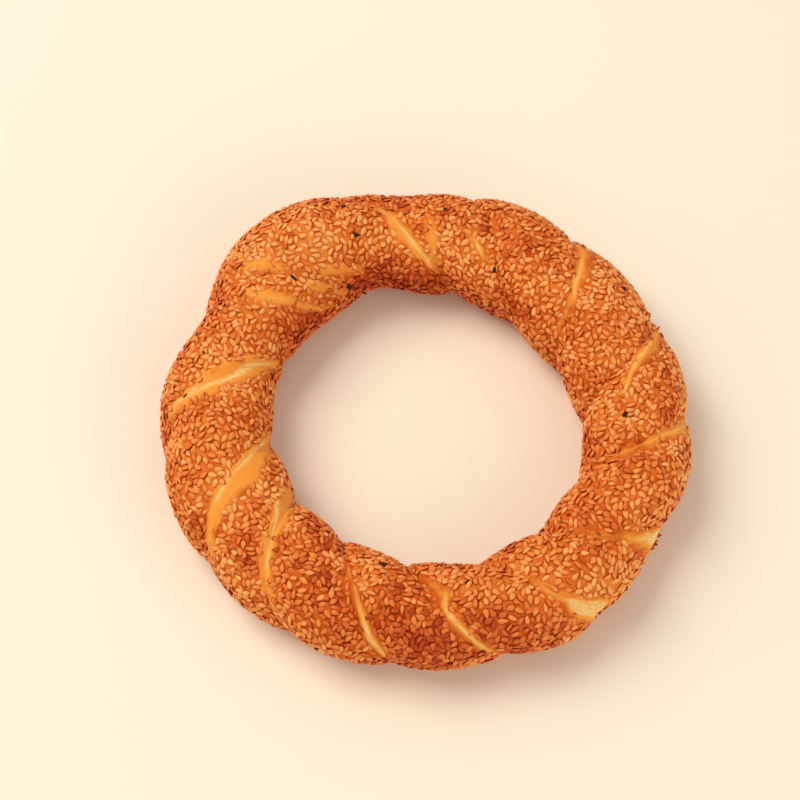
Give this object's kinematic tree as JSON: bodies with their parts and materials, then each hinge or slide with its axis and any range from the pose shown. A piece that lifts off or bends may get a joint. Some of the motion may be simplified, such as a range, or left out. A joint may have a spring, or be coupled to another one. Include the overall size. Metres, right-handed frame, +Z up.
{
  "type": "twisted sesame bread ring",
  "caption": "Ring-shaped bread of two twisted ropes of dough, glazed and covered in toasted sesame, with a wide open hole.",
  "frame": {"origin": "middle of the footprint's box, on the surface that the ring lies on", "axes": "+Z up along the axis of the hole; +Y from the front of the ring to its back, where the rope's ends are joined a little to the left"},
  "size_m": [0.1724, 0.1676, 0.0328],
  "materials": {
    "crust": "baked dough crust browned under a thin syrup glaze, slightly shiny where it is bare, pale and floury in the creases",
    "sesame": "toasted sesame seeds, golden to reddish brown, with a soft sheen from the syrup"
  },
  "bodies": {
    "root": {"ring": "crust"}
  },
  "joints": []
}
